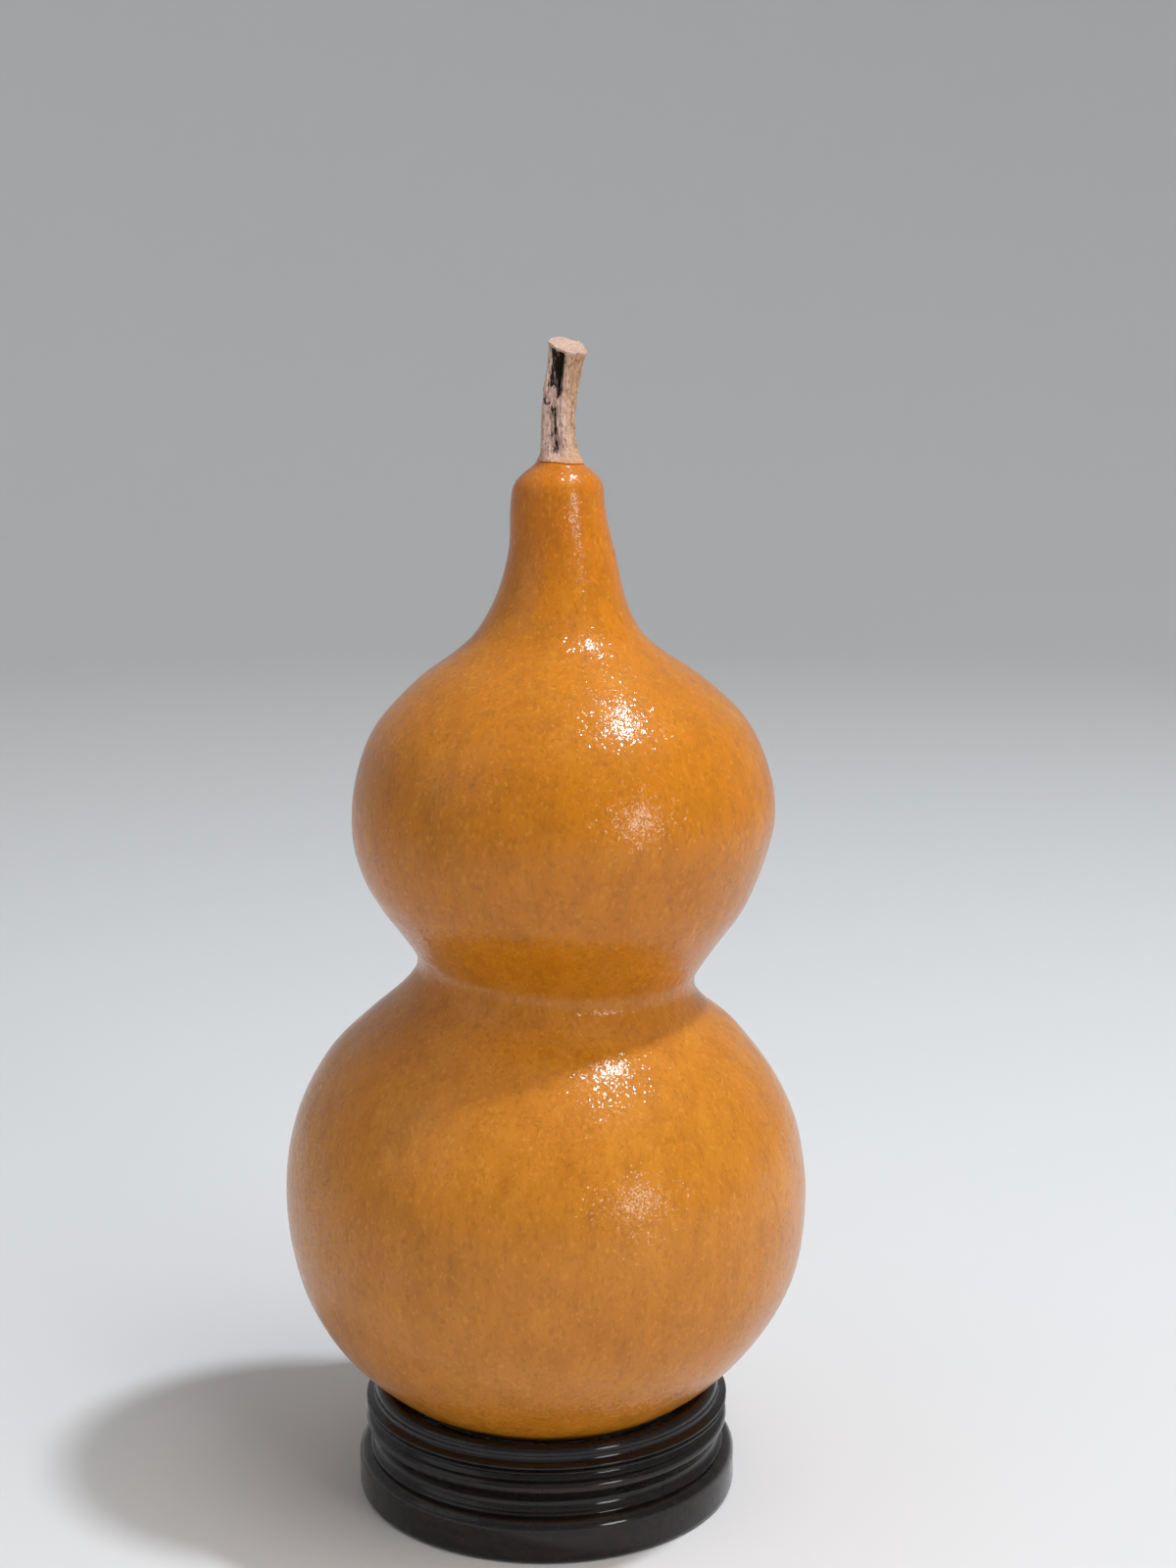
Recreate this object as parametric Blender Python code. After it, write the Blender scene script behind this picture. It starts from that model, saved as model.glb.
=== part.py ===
"""A dried bottle gourd with two bulbs and its stem, standing on a small turned wooden stand.

Blender 4.5. The model is in metres with +Z up. The sizes below are in millimetres, and MM turns them
into metres. The origin is the centre of the stand's underside. The gourd's front is its -Y side, and
+X is to the right of someone who faces it. Heights are measured from the stand's underside.
"""

import math

import bmesh
import bpy

MM = 0.001

# The gap between pieces that rest on or in each other
GAP = 0.3

# Gourd: (height, radius) stations from the blossom end up to the socket that the stem grows out of
GOURD_STATIONS = [
    (12.0, 0.0),
    (14.0, 14.6),
    (20.0, 28.2),
    (30.0, 39.8),
    (43.0, 47.6),
    (58.0, 50.0),
    (72.0, 48.3),
    (83.0, 43.1),
    (91.0, 36.3),
    (96.5, 29.9),
    (99.8, 27.1),
    (101.8, 26.4),
    (104.2, 26.9),
    (109.0, 30.1),
    (117.0, 35.6),
    (126.0, 38.9),
    (133.5, 39.7),
    (142.0, 38.1),
    (150.0, 34.2),
    (157.5, 26.7),
    (162.5, 19.7),
    (166.5, 15.4),
    (173.0, 12.1),
    (182.0, 9.8),
    (189.0, 8.9),
    (193.0, 8.4),
    (195.2, 6.8),
    (196.6, 5.0),
    (197.6, 4.1),
]
RINGS_PER_STATION = 2
GOURD_SIDES = 48
SOCKET_DEPTH = 1.6
SOCKET_RADIUS = 3.9

# Gourd axis: (height, offset to the right), because the gourd grew slightly bent
AXIS_STATIONS = [
    (58.0, 0.0),
    (84.0, 0.3),
    (101.8, 2.0),
    (116.0, 2.5),
    (133.5, 3.5),
    (150.0, 3.2),
    (164.0, 2.6),
    (180.0, 3.3),
    (190.0, 2.5),
    (197.0, 2.8),
]

# Gourd lean: (height, rise of the left side per mm from the axis), most of it where the waist is pinched
LEAN_STATIONS = [
    (30.0, 0.0),
    (58.0, 0.015),
    (90.0, 0.02),
    (101.8, 0.075),
    (114.0, 0.035),
    (133.5, -0.02),
    (164.0, -0.01),
    (190.0, 0.0),
]

# Gourd out-of-round: (waves round the girth, share of the radius), each zero at the far left and right
LOBES = [(2, -0.008), (3, 0.005), (5, 0.002)]
LOBES_START = 25.0
LOBES_FULL = 50.0

# Stem: (height, offset to the right, offset to the front, radius) stations
STEM_STATIONS = [
    (198.0, 2.8, 0.0, 3.8),
    (199.4, 2.7, 0.0, 3.25),
    (204.5, 2.5, 0.1, 3.0),
    (209.7, 3.0, 0.4, 2.95),
    (214.0, 3.8, 0.8, 3.0),
    (218.0, 4.5, 1.2, 3.2),
]
STEM_FOOT_RADIUS = 3.5
STEM_SIDES = 32
RINGS_PER_STEM_STATION = 3
STEM_FOOT = STEM_STATIONS[0][0]
STEM_TOP = STEM_STATIONS[-1][0]

# Stem ridges: they wind slowly round the stem from its foot to its cut end
STEM_RIDGES = 5
RIDGE_SHARE = 0.07
RIDGE_ANGLE = math.radians(30)
TWIST_PER_MM = math.radians(-1.7)

# Stem groove, left of the front ridge: it is deep and wide above the knot and closes towards the foot
GROOVE_ANGLE = math.radians(-4)
GROOVE_WIDTH_TOP = math.radians(23)
GROOVE_WIDTH_LOW = math.radians(10)
GROOVE_DEPTH_TOP = 1.4
GROOVE_DEPTH_LOW = 0.7
GROOVE_FADE = 4.0

# Stem knot: a small raised scar on the left ridge that bridges the groove, falling to the right
KNOT_HEIGHT = 208.8
KNOT_FALL = 2.6
KNOT_ANGLE = math.radians(-32)
KNOT_SPAN = math.radians(22)
KNOT_LENGTH = 1.0
KNOT_RISE = 0.9

# Stem cut end: it slopes down to the front and to the right, with a ragged edge
CUT_START = 213.5
CUT_SLOPE_FRONT = 0.36
CUT_SLOPE_RIGHT = 0.25
CUT_RAGGED = 0.25
CUT_RAGGED_WAVES = 7
CUT_DOME = 0.2

# Stand foot: a heavy disc with a small rounding below and a larger one above
FOOT_RADIUS = 36.5
FOOT_HEIGHT = 8.4
FOOT_EDGE = 1.2
FOOT_SHOULDER = 2.2

# Stand wall: a cove, a bead, a thin fillet and a square edge, from the foot up
WALL_RADIUS = 35.0
COVE_RADIUS = 1.9
COVE_HEIGHT = 10.4
BEAD_RADIUS = 1.3
BEAD_HEIGHT = 13.8
FILLET_HEIGHT = 17.1
FILLET_HALF = 0.4
SCORE_DEPTH = 0.7
EDGE_HEIGHT = 18.2
EDGE_HALF = 0.4
QUIRK_DEPTH = 1.5

# Stand rim: a bead round the dish
RIM_BEAD_RADIUS = 1.35
RIM_BEAD_HEIGHT = 19.9
RIM_INSET = 3.0

# Stand dish: the seat ring carries the gourd
SEAT_RADIUS = 28.0
SEAT_HEIGHT = 19.45
DISH_DEPTH = 8.7
DISH_RINGS = 6
STAND_SIDES = 56

# Colours: linear RGB, with roughness
GOURD_COLOUR = (0.60, 0.20, 0.03)
GOURD_ROUGHNESS = 0.28
STEM_COLOUR = (0.50, 0.36, 0.22)
STEM_ROUGHNESS = 0.8
STAND_COLOUR = (0.012, 0.010, 0.010)
STAND_ROUGHNESS = 0.2


def clear_scene():
    """Removes every object of the file that the script runs in."""
    for item in list(bpy.data.objects):
        bpy.data.objects.remove(item)


def material(name, colour, roughness):
    """A Principled material of one colour."""
    result = bpy.data.materials.new(name)
    result.use_nodes = True
    shader = result.node_tree.nodes["Principled BSDF"]
    shader.inputs["Base Color"].default_value = (*colour, 1.0)
    shader.inputs["Roughness"].default_value = roughness
    shader.inputs["Metallic"].default_value = 0.0
    return result


def smooth_curve(stations, steps):
    """Points of a Catmull-Rom curve through the stations, with this many steps from one to the next."""
    points = []
    last = len(stations) - 1
    for index in range(last):
        start = stations[index]
        end = stations[index + 1]
        before = stations[index - 1] if index > 0 else start
        after = stations[index + 2] if index + 2 <= last else end
        for step in range(steps):
            t = step / steps
            columns = zip(before, start, end, after)
            points.append(tuple(curve_value(*column, t) for column in columns))
    points.append(tuple(stations[last]))
    return points


def curve_value(before, start, end, after, t):
    """One coordinate of the curve between start and end, at t from 0 to 1."""
    slope_in = (end - before) / 2
    slope_out = (after - start) / 2
    return (
        start * (1 + 2 * t) * (1 - t) ** 2
        + slope_in * t * (1 - t) ** 2
        + end * t * t * (3 - 2 * t)
        + slope_out * t * t * (t - 1)
    )


def value_at(stations, height, column):
    """A column of the stations at a height, eased from one station to the next."""
    low = stations[0]
    for high in stations[1:]:
        if height <= high[0]:
            return low[column] + (high[column] - low[column]) * ease(low[0], high[0], height)
        low = high
    return low[column]


def ease(low, high, value):
    """0 below low, 1 above high, and a smooth step in between."""
    t = min(max((value - low) / (high - low), 0.0), 1.0)
    return t * t * (3 - 2 * t)


def bump(offset, width):
    """A bell of height 1 and this half width."""
    return math.exp(-((offset / width) ** 2))


def angle_between(first, second):
    """The difference of two angles, from -pi to pi."""
    return (first - second + math.pi) % math.tau - math.pi


def solid(name, rings, bottom, top, finish):
    """A closed solid through rings of points, with a point that closes each end. Sizes are in millimetres."""
    mesh = bmesh.new()
    levels = [[mesh.verts.new([value * MM for value in point]) for point in ring] for ring in rings]
    low = mesh.verts.new([value * MM for value in bottom])
    high = mesh.verts.new([value * MM for value in top])
    count = len(rings[0])
    for side in range(count):
        after = (side + 1) % count
        mesh.faces.new((low, levels[0][after], levels[0][side]))
        mesh.faces.new((high, levels[-1][side], levels[-1][after]))
        for lower, upper in zip(levels, levels[1:]):
            mesh.faces.new((lower[side], lower[after], upper[after], upper[side]))
    data = bpy.data.meshes.new(name)
    mesh.to_mesh(data)
    mesh.free()
    data.shade_smooth()
    data.set_sharp_from_angle(angle=math.radians(35))
    data.materials.append(finish)
    item = bpy.data.objects.new(name, data)
    bpy.context.scene.collection.objects.link(item)
    return item


def out_of_round(angle, height):
    """The factor that takes the gourd's girth from a true circle."""
    waves = sum(share * math.sin(count * angle) for count, share in LOBES)
    return 1 + waves * ease(LOBES_START, LOBES_FULL, height)


def gourd_ring(height, radius):
    """One level of the gourd, round its bent axis."""
    offset = value_at(AXIS_STATIONS, height, 1)
    lean = value_at(LEAN_STATIONS, height, 1)
    ring = []
    for side in range(GOURD_SIDES):
        angle = math.tau * side / GOURD_SIDES
        reach = radius * out_of_round(angle, height)
        right = reach * math.cos(angle)
        ring.append((offset + right, reach * math.sin(angle), height - lean * right))
    return ring


def build_gourd():
    """The fruit: two bulbs, a pinched waist and a neck, with a shallow socket round the stem's foot."""
    profile = smooth_curve(GOURD_STATIONS, RINGS_PER_STATION)
    rings = [gourd_ring(height, radius) for height, radius in profile[1:]]
    floor = GOURD_STATIONS[-1][0] - SOCKET_DEPTH
    rings.append(gourd_ring(floor, SOCKET_RADIUS))
    blossom_end = (0.0, 0.0, GOURD_STATIONS[0][0])
    socket_floor = (value_at(AXIS_STATIONS, floor, 1), 0.0, floor)
    return solid("gourd", rings, blossom_end, socket_floor, material("gourd", GOURD_COLOUR, GOURD_ROUGHNESS))


def stem_reach(angle, height, radius):
    """The stem's radius at an angle counted from its front to the right."""
    twist = TWIST_PER_MM * (height - STEM_FOOT)
    ridge = math.cos(STEM_RIDGES * (angle - RIDGE_ANGLE - twist))
    above_knot = ease(KNOT_HEIGHT - KNOT_LENGTH, KNOT_HEIGHT + KNOT_LENGTH, height)
    width = GROOVE_WIDTH_LOW + (GROOVE_WIDTH_TOP - GROOVE_WIDTH_LOW) * above_knot
    depth = GROOVE_DEPTH_LOW + (GROOVE_DEPTH_TOP - GROOVE_DEPTH_LOW) * above_knot
    depth *= ease(STEM_FOOT, STEM_FOOT + GROOVE_FADE, height)
    groove = depth * bump(angle_between(angle, GROOVE_ANGLE + twist), width)
    across = angle_between(angle, KNOT_ANGLE)
    knot = bump(across, KNOT_SPAN) * bump(height - KNOT_HEIGHT + KNOT_FALL * across, KNOT_LENGTH)
    return radius * (1 + RIDGE_SHARE * ridge) - groove + KNOT_RISE * knot


def stem_ring(height, right, front, radius):
    """One level of the stem. The top levels tilt into the slope of the cut end."""
    cut = ease(CUT_START, STEM_TOP, height)
    ring = []
    for side in range(STEM_SIDES):
        angle = math.tau * side / STEM_SIDES
        reach = stem_reach(angle, height, radius)
        x = reach * math.sin(angle)
        y = -reach * math.cos(angle)
        ragged = CUT_RAGGED * math.sin(CUT_RAGGED_WAVES * angle)
        drop = CUT_SLOPE_RIGHT * x - CUT_SLOPE_FRONT * y + ragged
        ring.append((right + x, y - front, height - cut * drop))
    return ring


def build_stem():
    """The dried stem: ridged and grooved, with a knot, a spread foot and a sloping cut end."""
    socket_floor = GOURD_STATIONS[-1][0] - SOCKET_DEPTH + GAP
    foot_right = STEM_STATIONS[0][1]
    top_right = STEM_STATIONS[-1][1]
    top_front = STEM_STATIONS[-1][2]
    rings = [round_ring(foot_right, socket_floor, STEM_FOOT_RADIUS)]
    rings += [stem_ring(*level) for level in smooth_curve(STEM_STATIONS, RINGS_PER_STEM_STATION)]
    foot = (foot_right, 0.0, socket_floor)
    end = (top_right, -top_front, STEM_TOP + CUT_DOME)
    return solid("stem", rings, foot, end, material("stem", STEM_COLOUR, STEM_ROUGHNESS))


def round_ring(right, height, radius):
    """The stem's round foot, in its socket. Like the ridged levels, it starts at the front."""
    angles = [math.tau * side / STEM_SIDES for side in range(STEM_SIDES)]
    return [(right + radius * math.sin(angle), -radius * math.cos(angle), height) for angle in angles]


def arc(centre, radius, start, end, steps):
    """Points (radius, height) along an arc. Angles are in degrees, from outwards (0) to upwards (90)."""
    points = []
    for step in range(steps + 1):
        angle = math.radians(start + (end - start) * step / steps)
        points.append((centre[0] + radius * math.cos(angle), centre[1] + radius * math.sin(angle)))
    return points


def stand_outline():
    """The stand's section, (radius, height), from the underside's edge up over the rim and into the dish."""
    outline = arc((FOOT_RADIUS - FOOT_EDGE, FOOT_EDGE), FOOT_EDGE, -90, 0, 3)
    outline += arc((FOOT_RADIUS - FOOT_SHOULDER, FOOT_HEIGHT - FOOT_SHOULDER), FOOT_SHOULDER, 0, 90, 4)
    outline += arc((WALL_RADIUS, COVE_HEIGHT), COVE_RADIUS, 245, 125, 5)
    outline += arc((WALL_RADIUS - BEAD_RADIUS, BEAD_HEIGHT), BEAD_RADIUS, -60, 70, 5)
    outline += [
        (WALL_RADIUS - QUIRK_DEPTH, FILLET_HEIGHT - 3 * FILLET_HALF),
        (WALL_RADIUS - SCORE_DEPTH / 3, FILLET_HEIGHT - FILLET_HALF),
        (WALL_RADIUS, FILLET_HEIGHT),
        (WALL_RADIUS - SCORE_DEPTH, FILLET_HEIGHT + FILLET_HALF),
        (WALL_RADIUS, EDGE_HEIGHT - EDGE_HALF),
        (WALL_RADIUS, EDGE_HEIGHT),
        (WALL_RADIUS - QUIRK_DEPTH, EDGE_HEIGHT + EDGE_HALF),
    ]
    outline += arc((WALL_RADIUS - RIM_INSET, RIM_BEAD_HEIGHT), RIM_BEAD_RADIUS, -20, 125, 6)
    outline += dish_arc()
    return outline


def dish_arc():
    """The dish, part of a sphere, from the seat that carries the gourd to near the centre."""
    ball = (SEAT_RADIUS**2 + DISH_DEPTH**2) / (2 * DISH_DEPTH)
    points = []
    for step in range(DISH_RINGS):
        radius = SEAT_RADIUS * (1 - step / DISH_RINGS)
        points.append((radius, SEAT_HEIGHT - DISH_DEPTH + ball - math.sqrt(ball**2 - radius**2)))
    return points


def build_stand():
    """The stand: one turned disc with a heavy foot, a cove, beads and a dished top."""
    rings = []
    for radius, height in stand_outline():
        angles = [math.tau * side / STAND_SIDES for side in range(STAND_SIDES)]
        rings.append([(radius * math.cos(angle), radius * math.sin(angle), height) for angle in angles])
    floor = (0.0, 0.0, SEAT_HEIGHT - DISH_DEPTH)
    return solid("stand", rings, (0.0, 0.0, 0.0), floor, material("stand", STAND_COLOUR, STAND_ROUGHNESS))


clear_scene()
build_gourd()
build_stem()
build_stand()
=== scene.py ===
"""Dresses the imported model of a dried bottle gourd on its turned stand.

Blender 4.5. Sizes are in millimetres, and MM turns them into metres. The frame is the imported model's: the
origin is the centre of the stand's underside, +Z is up, the gourd's front is its -Y side and +X is to the
right of someone who faces the front. Left and right are always theirs.
"""

import math

import bpy
import numpy as np
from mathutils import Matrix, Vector, noise


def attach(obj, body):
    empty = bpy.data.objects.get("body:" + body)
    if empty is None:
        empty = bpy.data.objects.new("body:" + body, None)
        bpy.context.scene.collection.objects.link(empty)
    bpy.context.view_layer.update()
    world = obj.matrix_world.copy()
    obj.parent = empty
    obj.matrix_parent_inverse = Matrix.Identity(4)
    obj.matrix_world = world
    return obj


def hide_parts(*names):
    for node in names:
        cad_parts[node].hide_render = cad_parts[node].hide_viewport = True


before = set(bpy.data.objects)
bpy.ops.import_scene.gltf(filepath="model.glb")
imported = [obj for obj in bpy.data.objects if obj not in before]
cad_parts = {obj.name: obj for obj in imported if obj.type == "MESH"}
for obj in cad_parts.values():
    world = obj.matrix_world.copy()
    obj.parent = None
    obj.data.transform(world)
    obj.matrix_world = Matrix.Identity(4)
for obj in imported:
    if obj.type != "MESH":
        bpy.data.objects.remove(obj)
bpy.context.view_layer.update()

MM = 0.001

# Camera: its place, how far it looks down and its focal length in pixels of the photograph's longer side
CAMERA_PLACE = (8.07, -432.13, 216.13)
CAMERA_DOWN = math.radians(10.3)
FOCAL_PIXELS = 2405
LONG_SIDE_PIXELS = 1600
SENSOR_WIDTH = 36.0
CLIP_START = 10.0

# Gourd: (height, radius) stations from the blossom end up to the socket that the stem grows out of
GOURD_STATIONS = [
    (12.0, 0.0),
    (14.0, 14.6),
    (20.0, 28.2),
    (30.0, 39.8),
    (43.0, 47.6),
    (58.0, 50.0),
    (72.0, 48.3),
    (83.0, 43.1),
    (91.0, 36.3),
    (96.5, 29.9),
    (99.8, 27.1),
    (101.8, 26.4),
    (104.2, 26.9),
    (109.0, 30.1),
    (117.0, 35.6),
    (126.0, 38.9),
    (133.5, 39.7),
    (142.0, 38.1),
    (150.0, 34.2),
    (157.5, 26.7),
    (162.5, 19.7),
    (166.5, 15.4),
    (173.0, 12.1),
    (182.0, 9.8),
    (189.0, 8.9),
    (193.0, 8.4),
    (195.2, 6.8),
    (196.6, 5.0),
    (197.6, 4.1),
]

# Gourd mesh: curve steps between stations, rings, points round a ring, sharpest smooth edge in degrees
GOURD_STEPS = 24
GOURD_RINGS = 268
GOURD_SIDES = 320
GOURD_CREASE = 60

# Gourd collar: (height, radius) levels where the skin turns in to the stem's socket, raised on the left
COLLAR = [(197.40, 3.80), (197.2, 3.76), (196.0, 3.72)]
COLLAR_RISE = 0.25
COLLAR_BAND = (197.0, 198.0)

# Gourd axis: (height, offset to the right), because the gourd grew slightly bent
AXIS_STATIONS = [
    (58.0, 0.0),
    (84.0, 0.3),
    (101.8, 2.0),
    (116.0, 2.5),
    (133.5, 3.5),
    (150.0, 3.2),
    (164.0, 2.6),
    (180.0, 3.3),
    (190.0, 2.5),
    (197.0, 2.8),
]

# Gourd lean: (height, rise of the left side per mm from the axis), most of it where the waist is pinched
LEAN_STATIONS = [
    (30.0, 0.0),
    (58.0, 0.015),
    (90.0, 0.02),
    (101.8, 0.075),
    (114.0, 0.035),
    (133.5, -0.02),
    (164.0, -0.01),
    (190.0, 0.0),
]

# Gourd out-of-round: (waves round the girth, share of the radius), each zero at the far left and right
LOBES = [(2, -0.008), (3, 0.005), (5, 0.002)]
LOBES_START = 25.0
LOBES_FULL = 50.0

# Gourd skin relief, all of it inwards: (size of the swells, depth), from the widest to the finest
SKIN_INSET = 0.04
SKIN_SWELLS = [(24.0, 0.30), (9.0, 0.10), (3.6, 0.035)]
SWELL_SEED = 7.3

# Gourd dents: (angle from the front to the right in degrees, height, half width, half height, depth)
DENTS = [
    (-41.0, 128.5, 0.9, 2.6, 0.26),
    (-24.0, 124.0, 3.0, 2.2, 0.22),
    (-12.0, 121.0, 4.0, 2.0, 0.18),
    (6.0, 118.5, 3.5, 2.5, 0.14),
    (-34.0, 55.0, 5.0, 2.6, 0.20),
    (-12.0, 46.0, 6.0, 2.4, 0.16),
    (24.0, 43.0, 4.0, 3.0, 0.14),
    (58.0, 71.0, 4.5, 6.0, 0.16),
    (104.0, 50.0, 7.0, 4.0, 0.25),
    (150.0, 126.0, 5.0, 4.0, 0.22),
    (196.0, 66.0, 6.0, 7.0, 0.25),
    (228.0, 120.0, 4.0, 5.0, 0.2),
]

# Waist: fine upright wrinkles in patches, in the pinch above the narrowest level
WRINKLE_HEIGHT = 105.5
WRINKLE_REACH = 4.5
WRINKLE_DEPTH = 0.10
WRINKLES = 74
WRINKLE_WANDER = 3.0
WRINKLE_PATCH_SIZE = 5.0
WRINKLE_PATCH_SEED = 31.0
WRINKLE_PATCH_EDGE = (-0.5, 0.4)

# Stem: (height, offset to the right, offset to the front, radius) stations
STEM_STATIONS = [
    (198.0, 2.8, 0.0, 3.8),
    (199.4, 2.7, 0.0, 3.25),
    (204.5, 2.5, 0.1, 3.0),
    (209.7, 3.0, 0.4, 2.95),
    (214.0, 3.8, 0.8, 3.0),
    (218.0, 4.5, 1.2, 3.2),
]
STEM_FOOT = STEM_STATIONS[0][0]
STEM_TOP = STEM_STATIONS[-1][0]
STEM_SIDES = 200
STEM_STEPS = 26
STEM_CREASE = 50

# Stem root: (height, radius) levels from its end in the socket up to under the foot
STEM_ROOT = [(196.3, 3.40), (197.60, 3.45), (197.76, 3.60)]

# Stem surface: fibres and small pits, both cut into a slightly plumper form and drawn out along the stem
STEM_PLUMP = 0.29
GRAIN_RADIUS = 3.0
FIBRE_DEPTH = 0.12
FIBRE_SIZE = 0.38
FIBRE_SQUEEZE = 0.12
FIBRE_SEED = 3.0
PIT_DEPTH = 0.16
PIT_SIZE = 0.55
PIT_SQUEEZE = 0.7
PIT_SEED = 11.0

# Stem foot: it spreads into a thin even edge, widest on the right
FLARE = 0.85
FLARE_LEFT_SHARE = 0.25
FLARE_HEIGHT = 2.8
FLARE_POWER = 4
FLARE_EVENNESS = 0.75

# Stem foot: its edge hangs down with the cap's slope, just clear of the skin, and is hollow underneath
HANG = 0.34
HANG_RIGHT = 0.18
HANG_SLOPE = 0.8
HANG_SLOPE_FROM = 3.85
HANG_HEIGHT = 1.2
FOOT_ARCH = 0.22

# Stem ridges: they wind slowly round the stem from its foot to its cut end
STEM_RIDGES = 5
RIDGE_SHARE = 0.07
RIDGE_ANGLE = math.radians(30)
TWIST_PER_MM = math.radians(-1.7)

# Stem groove, left of the front ridge: it is deep and wide above the knot and closes towards the foot
GROOVE_ANGLE = math.radians(-4)
GROOVE_WIDTH_TOP = math.radians(28)
GROOVE_WIDTH_LOW = math.radians(13)
GROOVE_DEPTH_TOP = 2.1
GROOVE_DEPTH_LOW = 0.8
GROOVE_SQUARENESS = 6
GROOVE_FADE = 3.0
GROOVE_END = (216.9, 217.6)

# Stem knot: a small raised scar on the left ridge that bridges the groove, falling to the right
KNOT_HEIGHT = 208.8
KNOT_FALL = 2.6
KNOT_ANGLE = math.radians(-32)
KNOT_SPAN = math.radians(22)
KNOT_LENGTH = 1.0
KNOT_LENGTH_UP = 2.3
KNOT_FILL = 0.9
KNOT_RISE = 0.9

# Stem scars on the left ridge: (angle, height, half width, half height), a ring below the knot, a pit above
SCAR_RING = (math.radians(-44), 208.2, 0.55, 0.60)
SCAR_RING_BREADTH = 0.35
SCAR_RING_DEPTH = 0.22
SCAR_RING_SHADE = 0.5
SCAR_PIT = (math.radians(-52), 211.0, 0.38, 0.75)
SCAR_PIT_DEPTH = 0.55
SCAR_PIT_SHADE = 0.8

# Stem cut end: it slopes down to the front and to the right, with a ragged edge
CUT_START = 213.5
CUT_SLOPE_FRONT = 0.36
CUT_SLOPE_RIGHT = 0.25
CUT_RAGGED = 0.10
CUT_RAGGED_WAVES = 7
CUT_DOME = 0.2
CUT_LIP = 0.14
CUT_COLOUR_BAND = (217.15, 217.6)
CUT_COLOUR_RAGGED = 0.35

# Stem cut face: its rings as shares of its radius, its grain, its raised edge and the sunken pith
CUT_RINGS = (0.975, 0.93, 0.86, 0.77, 0.66, 0.53, 0.4, 0.27, 0.14)
CUT_GRAIN_DEPTH = 0.10
CUT_GRAIN_SIZE = 0.5
CUT_GRAIN_SEED = 5.0
CUT_EDGE_FROM = 0.95
CUT_EDGE_RISE = 0.04
CUT_EDGE_GRAIN = 0.4
PITH_DEPTH = 0.35
PITH_WIDTH = 0.3
PITH_BOTTOM = 0.45

# Stand: the turned section's sizes
FOOT_RADIUS = 36.5
FOOT_HEIGHT = 8.4
FOOT_EDGE = 1.2
FOOT_SHOULDER = 2.2
WALL_RADIUS = 35.0
COVE_RADIUS = 1.9
COVE_HEIGHT = 10.4
BEAD_RADIUS = 1.3
BEAD_HEIGHT = 13.8
FILLET_HEIGHT = 17.1
FILLET_HALF = 0.4
SCORE_DEPTH = 0.7
EDGE_HEIGHT = 18.2
EDGE_HALF = 0.4
QUIRK_DEPTH = 1.5
RIM_BEAD_RADIUS = 1.35
RIM_BEAD_HEIGHT = 19.9
RIM_INSET = 3.0
SEAT_RADIUS = 28.0
SEAT_HEIGHT = 19.45
DISH_DEPTH = 8.7
EDGE_SOFTENING = 0.16

# Stand arcs: (start, end, steps), with angles in degrees from outwards (0) to upwards (90)
FOOT_EDGE_ARC = (-90, 0, 8)
FOOT_SHOULDER_ARC = (0, 90, 12)
COVE_ARC = (245, 125, 14)
BEAD_ARC = (-60, 70, 14)
RIM_BEAD_ARC = (-20, 125, 18)

# Stand mesh: rings of the dish, share of the innermost, points round a ring, sharpest smooth edge in degrees
DISH_RINGS = 26
DISH_INNERMOST = 0.04
STAND_SIDES = 256
STAND_CREASE = 50

# Skin colours, from the lower bulb up, then those of the blotches over them, from the widest to the finest
SKIN_LOWER = (0.610, 0.215, 0.014, 1.0)
SKIN_UPPER = (0.615, 0.195, 0.003, 1.0)
SKIN_NECK = (0.590, 0.165, 0.003, 1.0)
SKIN_COLLAR = (0.560, 0.240, 0.100, 1.0)
CLOUD_COLOUR = (0.500, 0.160, 0.006, 1.0)
PALE_COLOUR = (0.730, 0.290, 0.022, 1.0)
MOTTLE_COLOUR = (0.390, 0.120, 0.004, 1.0)
STREAK_COLOUR = (0.450, 0.140, 0.005, 1.0)
FLECK_COLOUR = (0.330, 0.115, 0.005, 1.0)
# Painted highlight: small pale specks that stand for glints
PAINTED_GLINT_COLOUR = (0.780, 0.330, 0.035, 1.0)

# Skin colour bands: the heights where each colour starts and is full, and how far their edges wander
UPPER_BAND = (105.0, 150.0)
NECK_BAND = (178.0, 205.0)
BAND_WANDER = 34.0
BAND_WANDER_SIZE = 26.0
COLLAR_COLOUR_BAND = (198.6, 199.8)
COLLAR_COLOUR_WANDER = 2.4

# Skin grain: sparkle grains that each face a little another way, over pebbled and leathery bumps
SPARKLE_SIZE = 0.30
SPARKLE_TILT = 0.21
PEBBLE_SIZE = 0.62
PEBBLE_DEPTH = 0.03
LEATHER_SIZE = 1.7
LEATHER_DEPTH = 0.08

# Stem colours: pinkish on its left, painted lighter there too, ochre on its right, with pale patches, dark
# fibres, specks, and painted shade in its grooves and scars
# Left colour: the stem's pinkish tone, also painted lighter to make up for the lamps on the right
STEM_LEFT_WITH_PAINTED_LIGHT = (0.880, 0.620, 0.530, 1.0)
STEM_RIGHT = (0.640, 0.370, 0.180, 1.0)
STEM_SIDE_BAND = (2.0, 6.5)
FIBRE_COLOUR = (0.270, 0.150, 0.090, 1.0)
PATCH_COLOUR = (0.800, 0.570, 0.450, 1.0)
SPECK_COLOUR = (0.150, 0.090, 0.055, 1.0)
PAINTED_SHADE_COLOUR = (0.030, 0.017, 0.010, 1.0)
PAINTED_SHADE_BAND = (0.0, 0.7)
PAINTED_SHADE_EDGE = (0.02, 0.18)
PAINTED_SHADE_FIBRES = 0.25
CUT_PALE = (0.700, 0.490, 0.390, 1.0)
CUT_DARK = (0.430, 0.260, 0.180, 1.0)

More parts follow.
